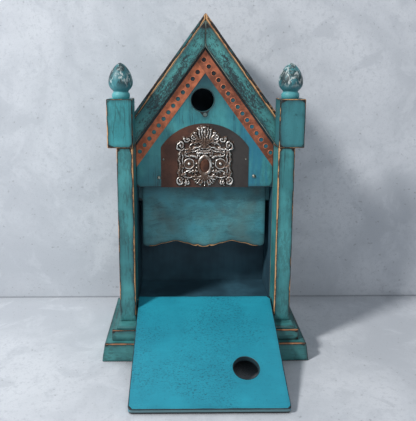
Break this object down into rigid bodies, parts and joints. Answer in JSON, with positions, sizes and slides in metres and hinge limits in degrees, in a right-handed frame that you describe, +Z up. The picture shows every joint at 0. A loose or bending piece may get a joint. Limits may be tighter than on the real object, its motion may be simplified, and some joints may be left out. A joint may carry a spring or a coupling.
{
  "type": "birdhouse",
  "caption": "Chapel-shaped wooden birdhouse on a stepped base, with a round entry hole, perforated metal gable trim, a cast ornament and a drop-down front door.",
  "frame": {"origin": "centre of the base's underside, where it stands on the ground", "axes": "+Z up through the apex; +X to the right seen from the front; +Y from the front to the back"},
  "size_m": [0.314, 0.2884, 0.52],
  "materials": {
    "teal_base": "matt teal paint rubbed through to tan wood along the edges",
    "teal_post": "matt teal paint over softwood, rubbed edges",
    "teal_rake": "matt green-teal paint with dark rubbed patches",
    "teal_facade": "matt blue-teal paint over thin board",
    "teal_door": "smooth bright turquoise paint on 9 mm board",
    "teal_valance": "thin teal wash with the grain showing",
    "dark_wall": "dark blue paint",
    "teal_roof": "matt teal paint, rubbed tan along the front edge",
    "finial_paint": "teal paint with silvery rubbed streaks",
    "bare_wood": "bare softwood",
    "copper": "rolled copper strip, dull",
    "rust_plate": "dark brown sheet metal, rusted",
    "bronze": "dark antiqued casting with rubbed high spots",
    "nail_steel": "zinc-bright steel"
  },
  "bodies": {
    "house": {"base_plinth": "teal_base", "base_step": "teal_base", "base_cap": "teal_base", "left_post": "teal_post", "right_post": "teal_post", "left_block": "teal_post", "right_block": "teal_post", "left_finial": "finial_paint", "right_finial": "finial_paint", "finial_dowels": "bare_wood", "left_side_wall": "dark_wall", "right_side_wall": "dark_wall", "back_wall": "dark_wall", "floor_board": "dark_wall", "sill_rail": "teal_post", "facade": "teal_facade", "perch_plug": "bare_wood", "left_roof_panel": "teal_roof", "right_roof_panel": "teal_roof", "left_rake": "teal_rake", "right_rake": "teal_rake", "left_strap": "copper", "right_strap": "copper", "arch_plate": "rust_plate", "ornament_plate": "bronze", "oval_frame": "bronze", "cabochon": "bronze", "rosettes": "bronze", "valance_rail": "dark_wall", "valance": "teal_valance", "pivot_nails": "nail_steel", "facade_nails": "nail_steel", "plate_tacks": "nail_steel", "block_brad": "nail_steel"},
    "door": {"door": "teal_door"}
  },
  "joints": [
    {"name": "door_hinge", "type": "hinge", "parent": "house", "child": "door", "pos_m": [0, -0.028, 0.074], "axis": [-1, 0, 0], "range_deg": [0, 111.6]}
  ]
}
